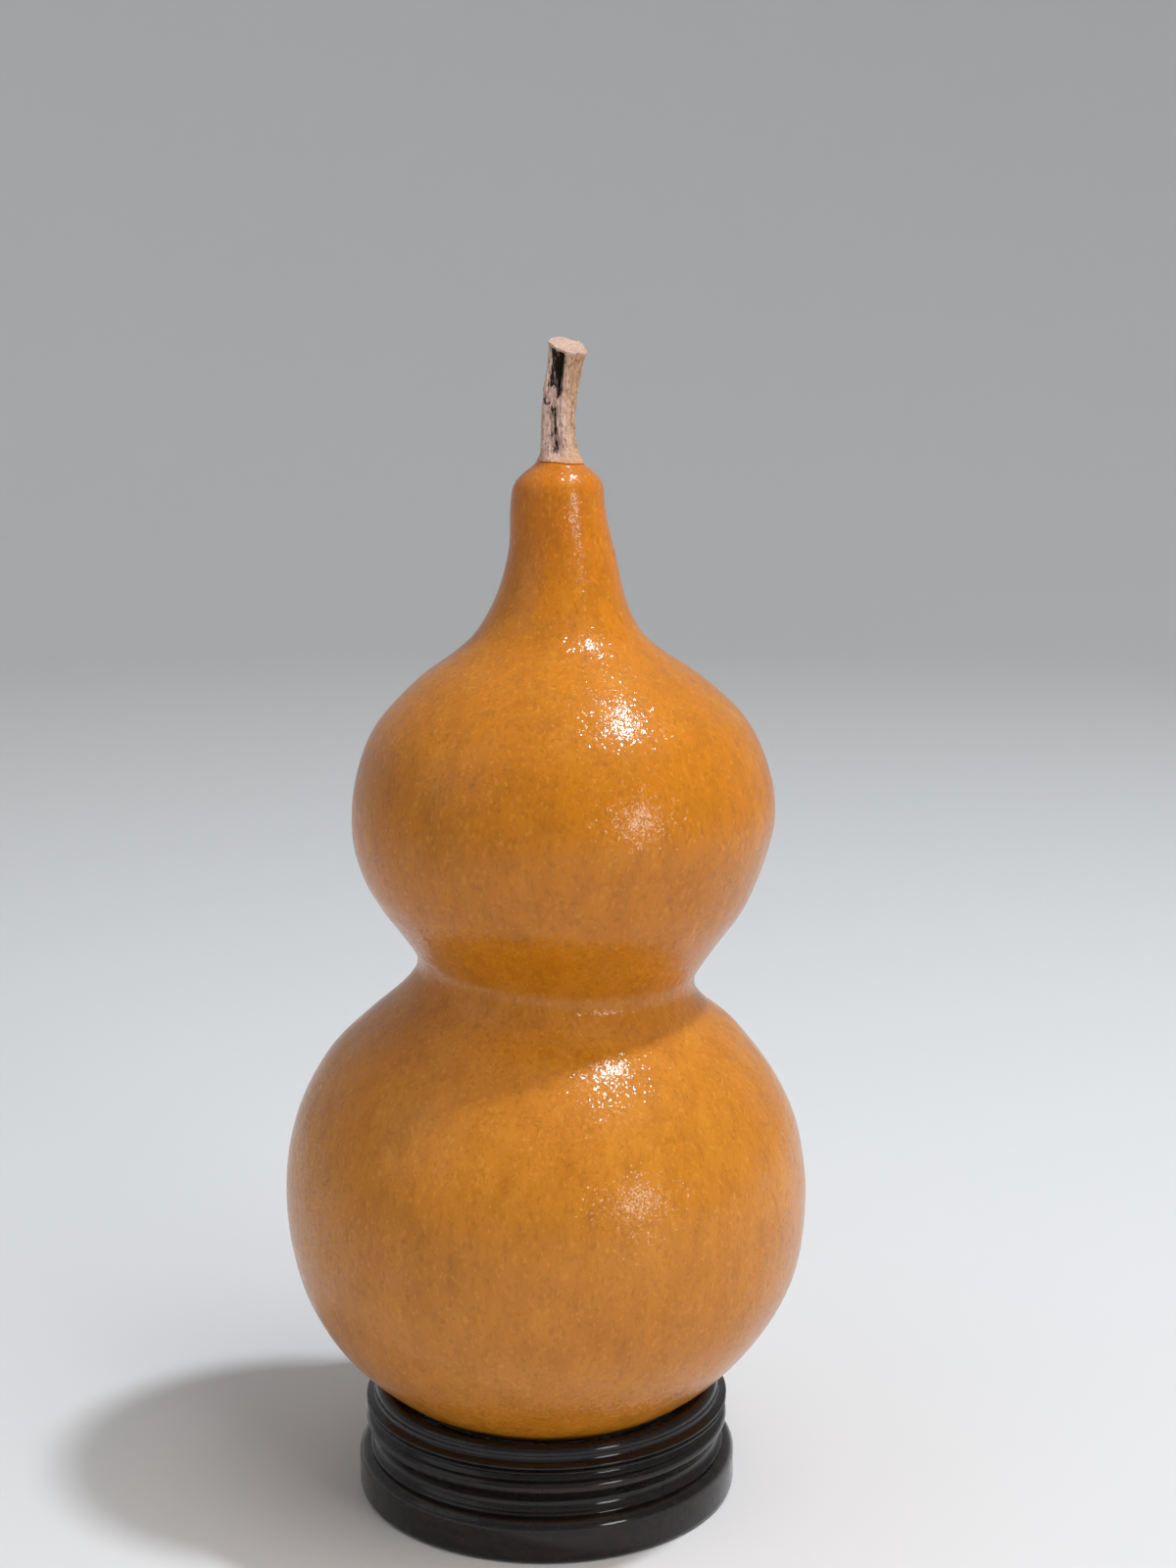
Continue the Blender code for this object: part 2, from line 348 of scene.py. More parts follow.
# Stem foot colours: browner low down, and orange in a ragged fringe along its edge
FOOT_COLOUR = (0.640, 0.330, 0.190, 1.0)
FOOT_BAND = (199.6, 197.4)
FRINGE_COLOUR = (0.600, 0.230, 0.050, 1.0)
FRINGE_BAND = (198.45, 197.95)
FRINGE_WANDER = 1.6

# Lacquer colours: black, and the wood's brown just seen through it
LACQUER_BLACK = (0.006, 0.005, 0.005, 1.0)
LACQUER_BROWN = (0.016, 0.010, 0.008, 1.0)

# Floor and backdrop: a flat disc of rings that curves up into a round wall with two more levels
FLOOR_COLOUR = (0.74, 0.732, 0.722, 1.0)
FLOOR_RADII = (60.0, 200.0, 600.0, 1300.0)
BACKDROP_CURVE = 1000.0
BACKDROP_STEPS = 24
BACKDROP_LEVELS = (1600.0, 2200.0)
BACKDROP_SIDES = 96

# Studio light from all round
WORLD_COLOUR = (0.92, 0.96, 1.0, 1.0)
WORLD_STRENGTH = 0.43

# Lamps, in metres and watts: (name, direction, distance, width, power, colour, whether the gloss mirrors it)
LAMP_TARGET = (0.0, 0.0, 0.11)
LAMPS = [
    ("key", (0.37, -0.06, 0.93), 1.15, 0.09, 8.5, (0.86, 0.92, 1.0), True),
    ("soft_key", (0.45, -0.35, 0.82), 1.25, 0.85, 5.3, (1.0, 0.985, 0.97), False),
    ("front", (0.63, -0.76, 0.18), 1.3, 0.33, 2.8, (1.0, 0.98, 0.97), True),
    ("left", (-0.85, -0.35, 0.55), 1.6, 1.2, 1.3, (0.96, 0.98, 1.0), True),
]


def smooth_curve(stations, steps):
    """Points of a Catmull-Rom curve through the stations, with this many steps from one to the next."""
    points = np.array(stations, float)
    slopes = np.gradient(points, axis=0)
    slopes[0] /= 2
    slopes[-1] /= 2
    curve = []
    for index in range(len(points) - 1):
        for t in np.arange(steps) / steps:
            curve.append(
                points[index] * (1 + 2 * t) * (1 - t) ** 2
                + slopes[index] * t * (1 - t) ** 2
                + points[index + 1] * t * t * (3 - 2 * t)
                + slopes[index + 1] * t * t * (t - 1)
            )
    curve.append(points[-1])
    return np.array(curve)


def evenly(curve, count):
    """The curve again, as this many points at equal distances along it."""
    lengths = np.linalg.norm(np.diff(curve, axis=0), axis=1)
    along = np.concatenate([[0.0], np.cumsum(lengths)])
    marks = np.linspace(0.0, along[-1], count)
    return np.stack([np.interp(marks, along, column) for column in curve.T], axis=1)


def ease(low, high, value):
    """0 below low, 1 above high, and a smooth step in between."""
    t = np.clip((value - low) / (high - low), 0.0, 1.0)
    return t * t * (3 - 2 * t)


def value_at(stations, heights):
    """The stations' values at these heights, eased from one station to the next."""
    levels, values = np.array(stations, float).T
    result = np.full_like(heights, values[0])
    for index in range(len(levels) - 1):
        share = ease(levels[index], levels[index + 1], heights)
        result = result + (values[index + 1] - values[index]) * share
    return result


def bump(offset, width):
    """A bell of height 1 and this half width."""
    return np.exp(-((offset / width) ** 2))


def angle_between(first, second):
    """The difference of two angles, from -pi to pi."""
    return (first - second + math.pi) % math.tau - math.pi


def noise_at(points, size, seed):
    """Smooth noise from about -1 to 1 at an array of points, with features of this size."""
    flat = points.reshape(-1, 3) / size + seed
    values = [noise.noise(Vector(point)) for point in flat.tolist()]
    return np.array(values).reshape(points.shape[:-1])


def outward(grid):
    """The outward unit normals of a grid of rings that close on themselves."""
    around = np.roll(grid, -1, axis=1) - np.roll(grid, 1, axis=1)
    up = np.gradient(grid, axis=0)
    normals = np.cross(around, up)
    return normals / np.maximum(np.linalg.norm(normals, axis=2, keepdims=True), 1e-9)


def closed_piece(name, grid, bottom, top, finish, crease, **marks):
    """A closed mesh through a grid of rings, from a bottom to a top point, with marks as values per point."""
    rings, sides = grid.shape[:2]
    points = np.concatenate([grid.reshape(-1, 3), [bottom, top]]) * MM
    low = rings * sides
    high = low + 1
    faces = []
    for side in range(sides):
        after = (side + 1) % sides
        faces.append((low, after, side))
        for ring in range(0, low - sides, sides):
            faces.append((ring + side, ring + after, ring + sides + after, ring + sides + side))
        faces.append((high, low - sides + side, low - sides + after))
    mesh = bpy.data.meshes.new(name)
    mesh.from_pydata(points.tolist(), [], faces)
    mesh.shade_smooth()
    mesh.set_sharp_from_angle(angle=math.radians(crease))
    for mark, values in marks.items():
        attribute = mesh.attributes.new(mark, "FLOAT", "POINT")
        ends = [values[0].mean(), values[-1].mean()]
        attribute.data.foreach_set("value", np.concatenate([values.ravel(), ends]).astype(np.float32))
    mesh.materials.append(finish)
    piece = bpy.data.objects.new(name, mesh)
    bpy.context.scene.collection.objects.link(piece)
    return piece


def gourd_surface(profile):
    """The gourd's smooth form as a grid of points, with the angle, height and radius that each belongs to."""
    angles = np.arange(GOURD_SIDES) * math.tau / GOURD_SIDES
    angles, heights = np.meshgrid(angles, profile[:, 0])
    radii = profile[:, 1:]
    waves = sum(share * np.sin(count * angles) for count, share in LOBES)
    reach = radii * (1 + waves * ease(LOBES_START, LOBES_FULL, heights))
    right = reach * np.cos(angles)
    offset = value_at(AXIS_STATIONS, heights)
    lean = value_at(LEAN_STATIONS, heights)
    grid = np.stack([offset + right, reach * np.sin(angles), heights - lean * right], axis=2)
    return grid, angles, heights, reach


def gourd_relief(grid, angles, heights, reach):
    """How far the skin lies below the smooth form: broad swells, dents and the waist's wrinkles."""
    relief = np.full(heights.shape, SKIN_INSET)
    for index, (size, depth) in enumerate(SKIN_SWELLS):
        relief += depth * (1 + noise_at(grid, size, SWELL_SEED * (index + 1))) / 2
    for turn, height, half_width, half_height, depth in DENTS:
        across = angle_between(angles, math.radians(turn - 90)) * reach
        relief += depth * bump(across, half_width) * bump(heights - height, half_height)
    patches = noise_at(grid, WRINKLE_PATCH_SIZE, WRINKLE_PATCH_SEED)
    wrinkle = 1 + np.sin(WRINKLES * angles + WRINKLE_WANDER * patches)
    fade = bump(heights - WRINKLE_HEIGHT, WRINKLE_REACH) * ease(*WRINKLE_PATCH_EDGE, patches)
    relief += WRINKLE_DEPTH * wrinkle / 2 * fade
    return relief


def build_gourd():
    """The fruit: two bulbs, a pinched waist and a neck, with the shallow socket round the stem's root."""
    profile = evenly(smooth_curve(GOURD_STATIONS, GOURD_STEPS), GOURD_RINGS)[1:]
    grid, angles, heights, reach = gourd_surface(profile)
    grid = grid - outward(grid) * gourd_relief(grid, angles, heights, reach)[:, :, None]
    collar, collar_angles, collar_heights = gourd_surface(np.array(COLLAR))[:3]
    grid = np.concatenate([grid, collar])
    angles = np.concatenate([angles, collar_angles])
    heights = np.concatenate([heights, collar_heights])
    grid[:, :, 2] += COLLAR_RISE * (1 - np.cos(angles)) / 2 * ease(*COLLAR_BAND, heights)
    socket = grid[-1].mean(axis=0)
    blossom_end = (0.0, 0.0, GOURD_STATIONS[0][0] + SKIN_INSET)
    piece = closed_piece("gourd_fruit", grid, blossom_end, socket, gourd_material(), GOURD_CREASE)
    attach(piece, "root")
    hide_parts("gourd")


def oval(angles, heights, radii, scar):
    """The distance from the middle of a scar, where 1 is its oval edge."""
    angle, height, half_width, half_height = scar
    across = angle_between(angles, angle) * radii / half_width
    return np.hypot(across, (heights - height) / half_height)


def stem_forms(angles, heights, radii):
    """The stem's reach round its axis, and how much painted shade each point gets in the grooves and scars.
    Angle 0 is the front.
    """
    twist = TWIST_PER_MM * (heights - STEM_FOOT)
    ridge = np.cos(STEM_RIDGES * (angles - RIDGE_ANGLE - twist))
    above_knot = ease(KNOT_HEIGHT - KNOT_LENGTH, KNOT_HEIGHT + KNOT_LENGTH, heights)
    width = GROOVE_WIDTH_LOW + (GROOVE_WIDTH_TOP - GROOVE_WIDTH_LOW) * above_knot
    depth = GROOVE_DEPTH_LOW + (GROOVE_DEPTH_TOP - GROOVE_DEPTH_LOW) * above_knot
    depth = depth * ease(STEM_FOOT, STEM_FOOT + GROOVE_FADE, heights) * (1 - ease(*GROOVE_END, heights))
    groove = depth * np.exp(-((angle_between(angles, GROOVE_ANGLE + twist) / width) ** GROOVE_SQUARENESS))
    across = angle_between(angles, KNOT_ANGLE)
    above = heights - KNOT_HEIGHT + KNOT_FALL * across
    knot = bump(across, KNOT_SPAN) * bump(above, np.where(above > 0, KNOT_LENGTH_UP, KNOT_LENGTH))
    groove = groove * (1 - KNOT_FILL * knot)
    ring = bump(oval(angles, heights, radii, SCAR_RING) - 1, SCAR_RING_BREADTH)
    pit = bump(oval(angles, heights, radii, SCAR_PIT), 1.0)
    lip = CUT_LIP * ease(*GROOVE_END, heights)
    reach = radii * (1 + RIDGE_SHARE * ridge) - groove + KNOT_RISE * knot + lip
    reach = reach - SCAR_RING_DEPTH * ring - SCAR_PIT_DEPTH * pit
    # Painted shade: dark deep in the groove and in the scars, none on the knot
    crevice = groove / GROOVE_DEPTH_TOP - knot + SCAR_RING_SHADE * ring + SCAR_PIT_SHADE * pit
    return reach, np.clip(crevice, 0.0, 1.0)


def stem_grain(angles, heights):
    """The noise that the stem's fibres and pits follow, each from about -1 to 1."""
    turn = angles - TWIST_PER_MM * (heights - STEM_FOOT)
    x = np.cos(turn) * GRAIN_RADIUS
    y = np.sin(turn) * GRAIN_RADIUS
    fibres = noise_at(np.stack([x, y, heights * FIBRE_SQUEEZE], axis=2), FIBRE_SIZE, FIBRE_SEED)
    pits = noise_at(np.stack([x, y, heights * PIT_SQUEEZE], axis=2), PIT_SIZE, PIT_SEED)
    return fibres, pits


def stem_root(edge, flare):
    """The rings from the root's end up to under the foot's edge, hollow where the cap rises under it."""
    turns = np.arange(STEM_SIDES) * math.tau / STEM_SIDES
    right = STEM_STATIONS[0][1]
    rings = []
    for height, radius in STEM_ROOT:
        ring = [right + radius * np.sin(turns), -radius * np.cos(turns), np.full_like(turns, height)]
        rings.append(np.stack(ring, axis=1))
    brim = (rings[-1] + edge) / 2
    brim[:, 2] += FOOT_ARCH * flare
    return np.array([*rings, brim])


def cut_face(edge, middle):
    """The rings of the cut end, from its edge in to the pith."""
    rings = []
    for share in CUT_RINGS:
        ring = middle + (edge - middle) * share
        rough = noise_at(ring * np.array([1.0, 1.0, 0.0]), CUT_GRAIN_SIZE, CUT_GRAIN_SEED)
        at_edge = share > CUT_EDGE_FROM
        sunk = CUT_GRAIN_DEPTH * (1 + rough) * (CUT_EDGE_GRAIN if at_edge else 1)
        sunk += PITH_DEPTH * bump(share, PITH_WIDTH)
        sunk -= CUT_EDGE_RISE if at_edge else 0.0
        ring[:, 2] -= sunk
        rings.append(ring)
    return np.array(rings)


def build_stem():
    """The dried stem: ridged and grooved, fibrous, with a knot, a spread foot and a sloping cut end."""
    angles = np.arange(STEM_SIDES) * math.tau / STEM_SIDES
    levels = smooth_curve(STEM_STATIONS, STEM_STEPS)
    angles, heights = np.meshgrid(angles, levels[:, 0])
    rights, fronts, radii = levels.T[1:, :, None]
    reach, crevice = stem_forms(angles, heights, radii)
    fibres, pits = stem_grain(angles, heights)
    reach = reach + STEM_PLUMP - FIBRE_DEPTH * (1 + fibres) - PIT_DEPTH * (1 + pits)

    rightward = (1 + np.sin(angles)) / 2
    spread = np.clip(1 - (heights - STEM_FOOT) / FLARE_HEIGHT, 0.0, 1.0) ** FLARE_POWER
    reach = reach + FLARE_EVENNESS * (radii - reach) * spread
    reach = reach + FLARE * (FLARE_LEFT_SHARE + (1 - FLARE_LEFT_SHARE) * rightward) * spread
    x = reach * np.sin(angles)
    y = -reach * np.cos(angles)
    hang = HANG + HANG_RIGHT * rightward + HANG_SLOPE * np.maximum(reach - HANG_SLOPE_FROM, 0.0)
    hang = hang * (1 - ease(STEM_FOOT, STEM_FOOT + HANG_HEIGHT, heights))
    cut = ease(CUT_START, STEM_TOP, heights)
    drop = CUT_SLOPE_RIGHT * x - CUT_SLOPE_FRONT * y + CUT_RAGGED * np.sin(CUT_RAGGED_WAVES * angles)
    side = np.stack([rights + x, y - fronts, heights - cut * drop - hang], axis=2)

    root = stem_root(side[0], reach[0] - radii[0])
    root_end = (STEM_STATIONS[0][1], 0.0, STEM_ROOT[0][0])
    middle = np.array([STEM_STATIONS[-1][1], -STEM_STATIONS[-1][2], STEM_TOP + CUT_DOME])
    face = cut_face(side[-1], middle)
    grid = np.concatenate([root, side, face])
    no_root = np.zeros((len(root), STEM_SIDES))
    no_face = np.zeros((len(face), STEM_SIDES))
    crevices = np.concatenate([no_root, crevice, no_face])
    edge = ease(*CUT_COLOUR_BAND, heights + CUT_COLOUR_RAGGED * pits)
    cuts = np.concatenate([no_root, edge, no_face + 1.0])
    pith = middle - (0.0, 0.0, PITH_BOTTOM)
    finish = stem_material()
    piece = closed_piece("gourd_stem", grid, root_end, pith, finish, STEM_CREASE, crevice=crevices, cut=cuts)
    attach(piece, "root")
    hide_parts("stem")


def arc(centre, radius, start, end, steps):
    """Points (radius, height) along an arc. Angles are in degrees, from outwards (0) to upwards (90)."""
    turns = np.radians(np.linspace(start, end, steps + 1))
    return [(centre[0] + radius * math.cos(turn), centre[1] + radius * math.sin(turn)) for turn in turns]


def softened(corner, before, after, radius):
    """A turned edge: three points round a corner of the section instead of the bare corner."""
    corner = np.array(corner)
    first = corner + radius * (np.array(before) - corner) / np.linalg.norm(np.array(before) - corner)
    last = corner + radius * (np.array(after) - corner) / np.linalg.norm(np.array(after) - corner)
    middle = (first + last) / 4 + corner / 2
    return [tuple(first), tuple(middle), tuple(last)]


def stand_outline():
    """The stand's section, (radius, height), from the underside's edge up over the rim and into the dish."""
    shoulder = (FOOT_RADIUS - FOOT_SHOULDER, FOOT_HEIGHT - FOOT_SHOULDER)
    outline = arc((FOOT_RADIUS - FOOT_EDGE, FOOT_EDGE), FOOT_EDGE, *FOOT_EDGE_ARC)
    outline += arc(shoulder, FOOT_SHOULDER, *FOOT_SHOULDER_ARC)
    outline += arc((WALL_RADIUS, COVE_HEIGHT), COVE_RADIUS, *COVE_ARC)
    outline += arc((WALL_RADIUS - BEAD_RADIUS, BEAD_HEIGHT), BEAD_RADIUS, *BEAD_ARC)
    steps = [
        (WALL_RADIUS - QUIRK_DEPTH, FILLET_HEIGHT - 3 * FILLET_HALF),
        (WALL_RADIUS - SCORE_DEPTH / 3, FILLET_HEIGHT - FILLET_HALF),
        (WALL_RADIUS, FILLET_HEIGHT),
        (WALL_RADIUS - SCORE_DEPTH, FILLET_HEIGHT + FILLET_HALF),
        (WALL_RADIUS, EDGE_HEIGHT - EDGE_HALF),
        (WALL_RADIUS, EDGE_HEIGHT),
        (WALL_RADIUS - QUIRK_DEPTH, EDGE_HEIGHT + EDGE_HALF),
    ]
    rim = arc((WALL_RADIUS - RIM_INSET, RIM_BEAD_HEIGHT), RIM_BEAD_RADIUS, *RIM_BEAD_ARC)
    line = [outline[-1], *steps, rim[0]]
    for before, corner, after in zip(line, line[1:], line[2:]):
        outline += softened(corner, before, after, EDGE_SOFTENING)
    ball = (SEAT_RADIUS**2 + DISH_DEPTH**2) / (2 * DISH_DEPTH)
    dish = []
    for share in np.linspace(1.0, DISH_INNERMOST, DISH_RINGS):
        radius = SEAT_RADIUS * share
        dish.append((radius, SEAT_HEIGHT - DISH_DEPTH + ball - math.sqrt(ball**2 - radius**2)))
    return outline + rim + dish


def build_stand():
    """The stand: one turned disc with a heavy foot, a cove, beads and a dished top."""
    radii, heights = np.array(stand_outline()).T[:, :, None]
    angles = np.arange(STAND_SIDES) * math.tau / STAND_SIDES
    heights = heights + np.zeros_like(angles)
    grid = np.stack([radii * np.cos(angles), radii * np.sin(angles), heights], axis=2)
    dish_floor = (0.0, 0.0, SEAT_HEIGHT - DISH_DEPTH)
    piece = closed_piece("turned_stand", grid, (0.0, 0.0, 0.0), dish_floor, stand_material(), STAND_CREASE)
    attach(piece, "root")
    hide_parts("stand")


def plug(tree, value, socket):
    """Sets a socket to a value, or links it where the value is another node's output."""
    if isinstance(value, bpy.types.NodeSocket):
        tree.links.new(value, socket)
    else:
        socket.default_value = value


def add(tree, kind, inputs=None, **settings):
    """A node with these settings and these inputs."""
    item = tree.nodes.new(kind)
    for key, value in settings.items():
        setattr(item, key, value)
    for key, value in (inputs or {}).items():
        plug(tree, value, item.inputs[key])
    return item


def maths(tree, operation, first, second):
    """Two numbers combined."""
    item = add(tree, "ShaderNodeMath", operation=operation)
    plug(tree, first, item.inputs[0])
    plug(tree, second, item.inputs[1])
    return item.outputs["Value"]


def vectors(tree, operation, *values):
    """Vectors combined."""
    item = add(tree, "ShaderNodeVectorMath", operation=operation)
    for index, value in enumerate(values):
        plug(tree, value, item.inputs[index])
    return item.outputs["Vector"]


def place(tree):
    """The object's own coordinates in metres."""
    return add(tree, "ShaderNodeTexCoord").outputs["Object"]


def place_along(tree, axis):
    """The object's own coordinate along one axis, in millimetres."""
    along = add(tree, "ShaderNodeSeparateXYZ", {"Vector": place(tree)}).outputs[axis]
    return maths(tree, "MULTIPLY", along, 1 / MM)


def grain(tree, size, stretch=(1.0, 1.0, 1.0), detail=2.0, roughness=0.5, distortion=0.0):
    """Noise from 0 to 1 with features of this size in millimetres, stretched by a factor along each axis."""
    mapping = add(tree, "ShaderNodeMapping", {"Vector": place(tree)})
    mapping.inputs["Scale"].default_value = [1 / value for value in stretch]
    inputs = {"Vector": mapping.outputs["Vector"], "Scale": 1 / (size * MM), "Detail": detail}
    inputs |= {"Roughness": roughness, "Distortion": distortion}
    return add(tree, "ShaderNodeTexNoise", inputs).outputs["Fac"]


def between(tree, value, low, high, first=0.0, last=1.0):
    """The value taken from the range low to high into the range first to last, and kept inside it."""
    inputs = {"Value": value, "From Min": low, "From Max": high, "To Min": first, "To Max": last}
    return add(tree, "ShaderNodeMapRange", inputs, interpolation_type="SMOOTHSTEP").outputs["Result"]


def blotches(tree, size, start, full, long=1.0, **noise_settings):
    """Blotches of this size, long by a factor upwards: 0 where the noise is under start, 1 over full."""
    return between(tree, grain(tree, size, (1.0, 1.0, long), **noise_settings), start, full)


def mixed(tree, factor, first, second):
    """Two colours mixed by a factor."""
    item = tree.nodes.new("ShaderNodeMix")
    item.data_type = "RGBA"
    plug(tree, factor, item.inputs[0])
    plug(tree, first, item.inputs[6])
    plug(tree, second, item.inputs[7])
    return item.outputs[2]


def tinted(tree, base, mask, tint, share):
    """The base colour with a share of the tint where the mask is 1."""
    return mixed(tree, maths(tree, "MULTIPLY", mask, share), base, tint)


def bumped(tree, height, depth, normal=None):
    """A bumped normal from a height of 0 to 1 that stands for this depth in millimetres."""
    inputs = {"Height": height, "Distance": depth * MM}
    if normal is not None:
        inputs["Normal"] = normal
    return add(tree, "ShaderNodeBump", inputs).outputs["Normal"]


def faceted(tree, size, tilt, normal):
    """The normal turned by a little in every grain of this size in millimetres, by more in a few of them."""
    inputs = {"Vector": place(tree), "Scale": 1 / (size * MM)}
    cells = add(tree, "ShaderNodeTexVoronoi", inputs).outputs["Color"]
    way = vectors(tree, "MULTIPLY_ADD", cells, (2.0, 2.0, 2.0), (-1.0, -1.0, -1.0))
    square = vectors(tree, "MULTIPLY", way, way)
    fifth_power = vectors(tree, "MULTIPLY", vectors(tree, "MULTIPLY", square, square), way)
    return vectors(tree, "NORMALIZE", vectors(tree, "MULTIPLY_ADD", fifth_power, (tilt, tilt, tilt), normal))


def principled(name, **inputs):
    """A new material with its node tree and Principled shader."""
    finish = bpy.data.materials.new(name)
    finish.use_nodes = True
    shader = finish.node_tree.nodes["Principled BSDF"]
    for key, value in inputs.items():
        shader.inputs[key.replace("_", " ")].default_value = value
    return finish, finish.node_tree, shader


def skin_colour(tree):
    """Orange, redder towards the neck, clouded, mottled and flecked along the gourd's length, with painted
    glint specks.
    """
    height = place_along(tree, "Z")
    wander = grain(tree, BAND_WANDER_SIZE)
    level = maths(tree, "ADD", height, maths(tree, "MULTIPLY", wander, BAND_WANDER))
    colour = mixed(tree, between(tree, level, *UPPER_BAND), SKIN_LOWER, SKIN_UPPER)
    colour = mixed(tree, between(tree, level, *NECK_BAND), colour, SKIN_NECK)

    clouds = blotches(tree, size=17.0, start=0.32, full=0.68, long=1.5, detail=4.0, roughness=0.6)
    colour = tinted(tree, colour, clouds, CLOUD_COLOUR, share=0.50)
    mottle = blotches(
        tree, size=4.2, start=0.42, full=0.72, long=2.2, detail=4.0, roughness=0.62, distortion=0.4
    )
    colour = tinted(tree, colour, mottle, MOTTLE_COLOUR, share=0.42)
    pale = blotches(
        tree, size=6.5, start=0.55, full=0.78, long=2.6, detail=3.0, roughness=0.55, distortion=0.3
    )
    colour = tinted(tree, colour, pale, PALE_COLOUR, share=0.38)
    streaks = blotches(tree, size=3.2, start=0.50, full=0.75, long=12.0, detail=3.0)
    colour = tinted(tree, colour, streaks, STREAK_COLOUR, share=0.26)
    flecks = blotches(
        tree, size=0.95, start=0.50, full=0.70, long=1.8, detail=3.0, roughness=0.6, distortion=0.4
    )
    colour = tinted(tree, colour, flecks, FLECK_COLOUR, share=0.42)
    # Painted glints: small specks of paler orange, a painted highlight
    painted_glints = blotches(tree, size=0.8, start=0.55, full=0.72, long=1.6)
    colour = tinted(tree, colour, painted_glints, PAINTED_GLINT_COLOUR, share=0.34)

    ragged = grain(tree, size=0.8, stretch=(1.0, 1.0, 3.0), detail=3.0)
    level = maths(tree, "ADD", height, maths(tree, "MULTIPLY", ragged, COLLAR_COLOUR_WANDER))
    return mixed(tree, between(tree, level, *COLLAR_COLOUR_BAND), colour, SKIN_COLLAR)


def gourd_material():
    """The polished skin: mottled orange under a clear gloss, whose fine grain makes highlights sparkle."""
    finish, tree, shader = principled(
        "gourd_skin", Coat_Weight=0.75, Coat_Roughness=0.13, Specular_IOR_Level=0.05
    )
    plug(tree, skin_colour(tree), shader.inputs["Base Color"])
    worn = grain(tree, size=9.0, detail=4.0, roughness=0.6)
    roughness = between(tree, worn, low=0.3, high=0.7, first=0.34, last=0.50)
    plug(tree, roughness, shader.inputs["Roughness"])
    leather = grain(tree, LEATHER_SIZE, (1.4, 1.4, 1.0), detail=4.0, roughness=0.6, distortion=0.9)
    pebbles = grain(tree, PEBBLE_SIZE, detail=1.0)
    normal = bumped(tree, pebbles, PEBBLE_DEPTH, bumped(tree, leather, LEATHER_DEPTH))
    normal = faceted(tree, SPARKLE_SIZE, SPARKLE_TILT, normal)
    plug(tree, normal, shader.inputs["Normal"])
    plug(tree, normal, shader.inputs["Coat Normal"])
    return finish


def stem_material():
    """The dried stem: pinkish tan fibres, painted lighter on its left, ochre on its right, painted shade in
    the grooves, cream at the cut.
    """
    finish, tree, shader = principled("dried_stem", Roughness=0.82, Specular_IOR_Level=0.3)
    crevice = add(tree, "ShaderNodeAttribute", attribute_name="crevice").outputs["Fac"]
    cut = add(tree, "ShaderNodeAttribute", attribute_name="cut").outputs["Fac"]
    height = place_along(tree, "Z")
    # Pinkish on the left, also painted lighter there, to ochre on the right
    side = between(tree, place_along(tree, "X"), *STEM_SIDE_BAND)
    colour = mixed(tree, side, STEM_LEFT_WITH_PAINTED_LIGHT, STEM_RIGHT)
    fibres = blotches(tree, size=0.45, start=0.38, full=0.62, long=6.0, detail=4.0, roughness=0.65)
    colour = tinted(tree, colour, fibres, FIBRE_COLOUR, share=0.62)
    patches = blotches(tree, size=1.5, start=0.45, full=0.75, long=1.6, detail=3.0, roughness=0.6)
    colour = tinted(tree, colour, patches, PATCH_COLOUR, share=0.45)
    specks = blotches(tree, size=0.42, start=0.54, full=0.68, long=1.6)
    colour = tinted(tree, colour, specks, SPECK_COLOUR, share=0.55)

    colour = tinted(tree, colour, between(tree, height, *FOOT_BAND), FOOT_COLOUR, share=0.6)
    ragged = grain(tree, size=0.7, stretch=(1.0, 1.0, 2.0), detail=3.0, roughness=0.6)
    level = maths(tree, "ADD", height, maths(tree, "MULTIPLY", ragged, FRINGE_WANDER))
    colour = tinted(tree, colour, between(tree, level, *FRINGE_BAND), FRINGE_COLOUR, share=0.45)

    # Painted shade in the grooves and scars, ragged along the fibres
    fibrous = maths(tree, "ADD", crevice, maths(tree, "SUBTRACT", fibres, PAINTED_SHADE_FIBRES))
    inside = between(tree, crevice, *PAINTED_SHADE_EDGE)
    dark = maths(tree, "MULTIPLY", between(tree, fibrous, *PAINTED_SHADE_BAND), inside)
    colour = mixed(tree, dark, colour, PAINTED_SHADE_COLOUR)
    wood = blotches(tree, size=0.38, start=0.35, full=0.70, detail=3.0, roughness=0.6)
    colour = mixed(tree, cut, colour, mixed(tree, wood, CUT_PALE, CUT_DARK))
    plug(tree, colour, shader.inputs["Base Color"])
    rough = grain(tree, size=0.36, stretch=(1.0, 1.0, 3.0), detail=4.0, roughness=0.65)
    plug(tree, bumped(tree, rough, depth=0.30), shader.inputs["Normal"])
    return finish


def stand_material():
    """Black lacquer on turned wood: the grain is just seen under it, in brown, and it is faintly brushed."""
    finish, tree, shader = principled(
        "dark_lacquer", Coat_Weight=0.7, Coat_Roughness=0.09, Specular_IOR_Level=0.05
    )
    wood = grain(tree, size=1.4, stretch=(14.0, 1.0, 1.0), detail=4.0, roughness=0.6)
    colour = mixed(tree, between(tree, wood, low=0.35, high=0.70), LACQUER_BLACK, LACQUER_BROWN)
    plug(tree, colour, shader.inputs["Base Color"])
    smudges = grain(tree, size=7.0, detail=4.0, roughness=0.6)
    roughness = between(tree, smudges, low=0.3, high=0.7, first=0.22, last=0.40)
    plug(tree, roughness, shader.inputs["Roughness"])
    normal = bumped(tree, wood, depth=0.008)
    plug(tree, normal, shader.inputs["Normal"])
    brushed = grain(tree, size=2.2, stretch=(1.0, 1.0, 0.5))
    plug(tree, bumped(tree, brushed, depth=0.015, normal=normal), shader.inputs["Coat Normal"])
    return finish


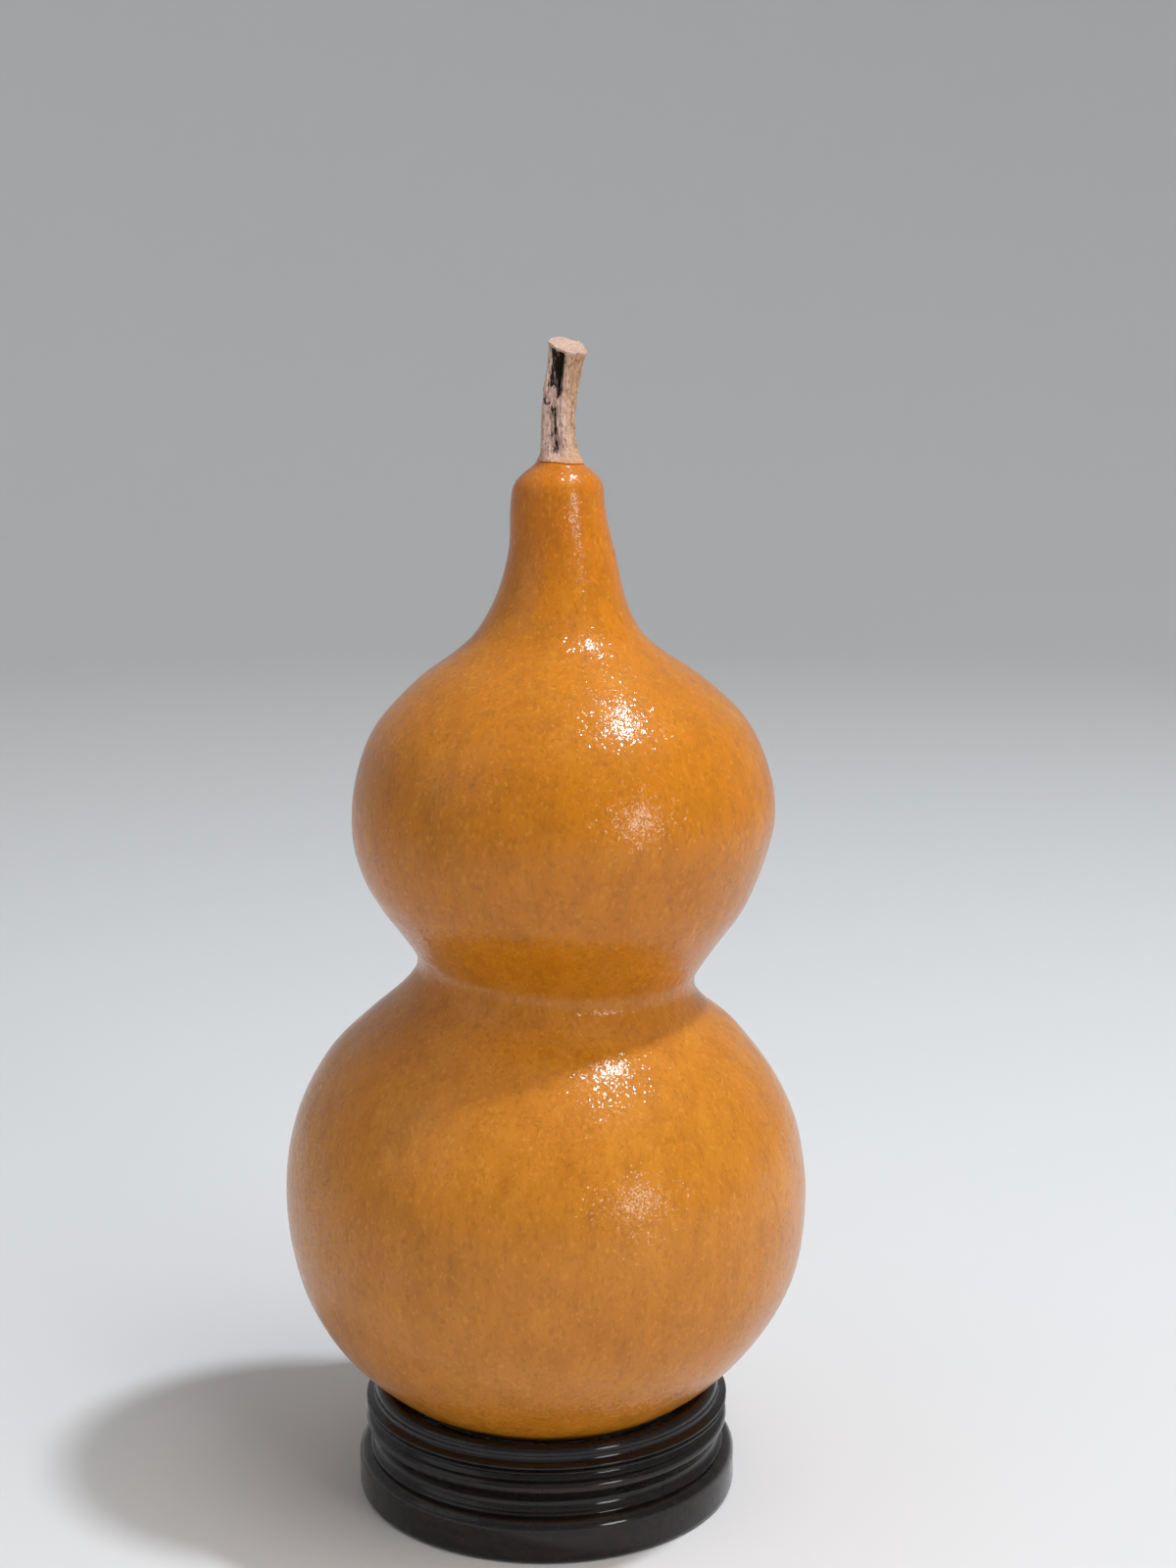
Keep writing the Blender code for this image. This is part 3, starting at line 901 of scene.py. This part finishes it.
def build_camera():
    """The camera at the photograph's viewing angle."""
    data = bpy.data.cameras.new("camera")
    data.sensor_width = SENSOR_WIDTH
    data.lens = FOCAL_PIXELS * SENSOR_WIDTH / LONG_SIDE_PIXELS
    data.clip_start = CLIP_START * MM
    camera = bpy.data.objects.new("camera", data)
    camera.location = [value * MM for value in CAMERA_PLACE]
    camera.rotation_euler = (math.pi / 2 - CAMERA_DOWN, 0.0, 0.0)
    bpy.context.scene.collection.objects.link(camera)
    bpy.context.scene.camera = camera


def build_floor():
    """A plain pale floor that curves up into a round backdrop."""
    finish, _, shader = principled("pale_floor", Roughness=0.8, Specular_IOR_Level=0.2)
    shader.inputs["Base Color"].default_value = FLOOR_COLOUR
    flat = FLOOR_RADII[-1]
    section = [(radius, 0.0) for radius in FLOOR_RADII]
    section += arc((flat, BACKDROP_CURVE), BACKDROP_CURVE, -90, 0, BACKDROP_STEPS)[1:]
    section += [(flat + BACKDROP_CURVE, level) for level in BACKDROP_LEVELS]
    sides = BACKDROP_SIDES
    angles = np.arange(sides) * math.tau / sides
    points = [(0.0, 0.0, 0.0)]
    for radius, height in section:
        for turn in angles:
            points.append((radius * math.cos(turn) * MM, radius * math.sin(turn) * MM, height * MM))
    faces = []
    for side in range(sides):
        after = (side + 1) % sides
        faces.append((0, 1 + side, 1 + after))
        for ring in range(1, 1 + sides * (len(section) - 1), sides):
            faces.append((ring + side, ring + sides + side, ring + sides + after, ring + after))
    mesh = bpy.data.meshes.new("floor")
    mesh.from_pydata(points, [], faces)
    mesh.shade_smooth()
    mesh.materials.append(finish)
    floor = bpy.data.objects.new("floor", mesh)
    bpy.context.scene.collection.objects.link(floor)


def build_world():
    """Even, faintly blue light from all round."""
    world = bpy.data.worlds.new("studio")
    world.use_nodes = True
    background = world.node_tree.nodes["Background"]
    background.inputs["Color"].default_value = WORLD_COLOUR
    background.inputs["Strength"].default_value = WORLD_STRENGTH
    bpy.context.scene.world = world


def build_lamps():
    """A small key high on the right, as in the photograph, and wider soft lamps, all aimed at the gourd."""
    target = Vector(LAMP_TARGET)
    for name, direction, distance, width, power, colour, mirrored in LAMPS:
        data = bpy.data.lights.new(name, "AREA")
        data.shape = "DISK"
        data.size = width
        data.energy = power
        data.color = colour
        lamp = bpy.data.objects.new(name, data)
        way = Vector(direction).normalized()
        lamp.location = target + way * distance
        lamp.rotation_euler = way.to_track_quat("Z", "Y").to_euler()
        lamp.visible_glossy = mirrored
        bpy.context.scene.collection.objects.link(lamp)
    bpy.context.scene.view_settings.view_transform = "Standard"


build_camera()
build_gourd()
build_stem()
build_stand()
build_floor()
build_world()
build_lamps()
